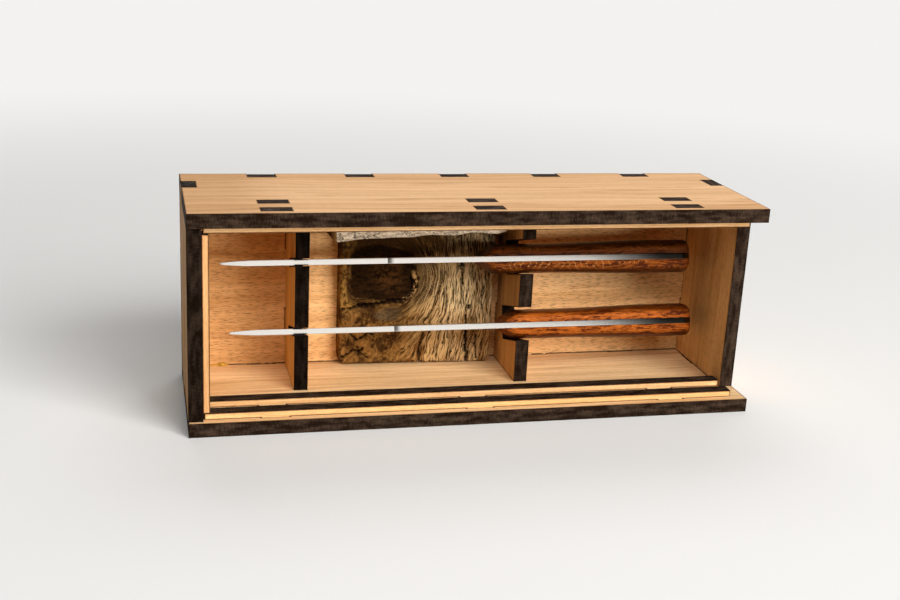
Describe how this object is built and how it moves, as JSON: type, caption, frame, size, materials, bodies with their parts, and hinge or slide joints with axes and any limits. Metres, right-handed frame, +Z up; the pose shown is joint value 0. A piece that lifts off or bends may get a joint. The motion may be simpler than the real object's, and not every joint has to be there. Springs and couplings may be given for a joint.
{
  "type": "knife display case",
  "caption": "Open-fronted wooden display case of slotted sheets, holding two table knives in notched dividers in front of a block of weathered wood.",
  "frame": {"origin": "middle of the underside, which rests on the surface", "axes": "+X along the case from the knives' tips to their butts, the open front faces -Y, +Z up"},
  "size_m": [0.26, 0.079, 0.0988],
  "materials": {
    "beech": "bare light beech, cut edges charred dark",
    "divider_wood": "bare beech in the shade, cut edges charred dark",
    "old_wood": "weathered, fibrous, with cracks and a dark knot",
    "dark_handle_wood": "oiled, dark red-brown",
    "red_handle_wood": "oiled, orange-red with dark curls",
    "steel": "satin"
  },
  "bodies": {
    "case": {"top_panel": "beech", "bottom_panel": "beech", "back_panel": "beech", "left_end_panel": "beech", "right_end_panel": "beech", "blade_divider": "divider_wood", "handle_divider": "divider_wood", "top_outer_rail": "beech", "bottom_outer_rail": "beech", "top_inner_rail": "beech", "bottom_inner_rail": "beech", "stop_strip": "beech", "wood_block": "old_wood"},
    "upper_knife": {"upper_knife_blade": "steel", "upper_knife_upper_scale": "dark_handle_wood", "upper_knife_lower_scale": "dark_handle_wood", "upper_knife_rivet_1": "steel", "upper_knife_rivet_2": "steel", "upper_knife_rivet_3": "steel"},
    "lower_knife": {"lower_knife_blade": "steel", "lower_knife_upper_scale": "red_handle_wood", "lower_knife_lower_scale": "red_handle_wood", "lower_knife_rivet_1": "steel", "lower_knife_rivet_2": "steel", "lower_knife_rivet_3": "steel"}
  },
  "joints": [
    {"name": "upper_knife_slide", "type": "slide", "parent": "case", "child": "upper_knife", "axis": [0, -0.9613, 0.2756], "range_m": [0, 0.065]},
    {"name": "lower_knife_slide", "type": "slide", "parent": "case", "child": "lower_knife", "axis": [0, -0.9613, 0.2756], "range_m": [0, 0.065]}
  ]
}
